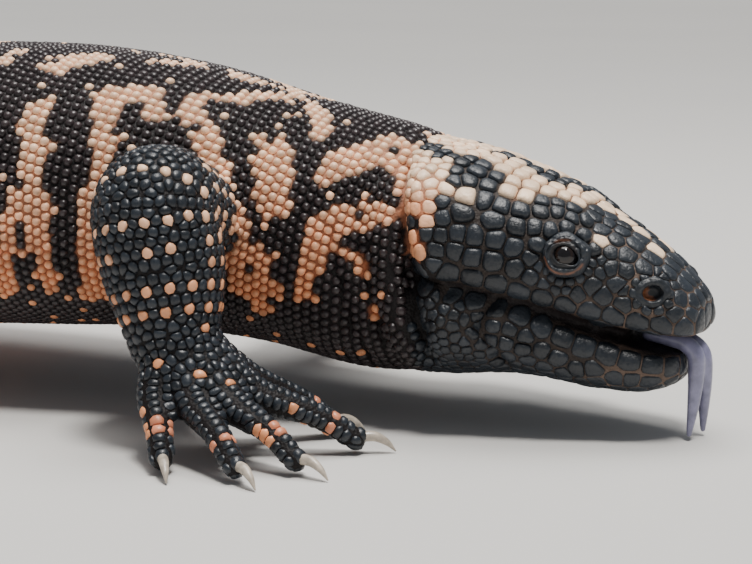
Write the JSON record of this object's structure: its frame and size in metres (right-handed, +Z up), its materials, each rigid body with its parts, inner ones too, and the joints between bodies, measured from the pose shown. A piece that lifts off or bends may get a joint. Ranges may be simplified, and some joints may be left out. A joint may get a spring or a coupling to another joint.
{
  "type": "gila monster",
  "caption": "Life-size still model of a gila monster on all fours, head low, mouth slightly open, forked tongue out, thick tail curved on the floor.",
  "frame": {"origin": "on the floor, under the middle of the animal's box", "axes": "+X towards the head along the animal, +Y to its left, +Z up"},
  "size_m": [0.4556, 0.2024, 0.0795],
  "materials": {
    "hide": "satin black beads with a salmon pattern",
    "face": "satin blue-black scales",
    "claw": "smooth horn",
    "eye": "wet gloss",
    "tongue": "moist, smooth"
  },
  "bodies": {
    "root": {"neck": "hide", "torso_front": "hide", "torso_middle": "hide", "torso_rear": "hide", "tail_base": "hide", "tail_middle": "hide", "tail_tip": "hide", "head": "face", "jaw": "face", "eye_right": "eye", "eye_left": "eye", "tongue": "tongue", "front_right_upper": "hide", "front_right_lower": "hide", "front_right_foot": "hide", "front_right_claw_1": "claw", "front_right_claw_2": "claw", "front_right_claw_3": "claw", "front_right_claw_4": "claw", "front_right_claw_5": "claw", "front_left_upper": "hide", "front_left_lower": "hide", "front_left_foot": "hide", "front_left_claw_1": "claw", "front_left_claw_2": "claw", "front_left_claw_3": "claw", "front_left_claw_4": "claw", "front_left_claw_5": "claw", "hind_right_upper": "hide", "hind_right_lower": "hide", "hind_right_foot": "hide", "hind_right_claw_1": "claw", "hind_right_claw_2": "claw", "hind_right_claw_3": "claw", "hind_right_claw_4": "claw", "hind_right_claw_5": "claw", "hind_left_upper": "hide", "hind_left_lower": "hide", "hind_left_foot": "hide", "hind_left_claw_1": "claw", "hind_left_claw_2": "claw", "hind_left_claw_3": "claw", "hind_left_claw_4": "claw", "hind_left_claw_5": "claw"}
  },
  "joints": []
}
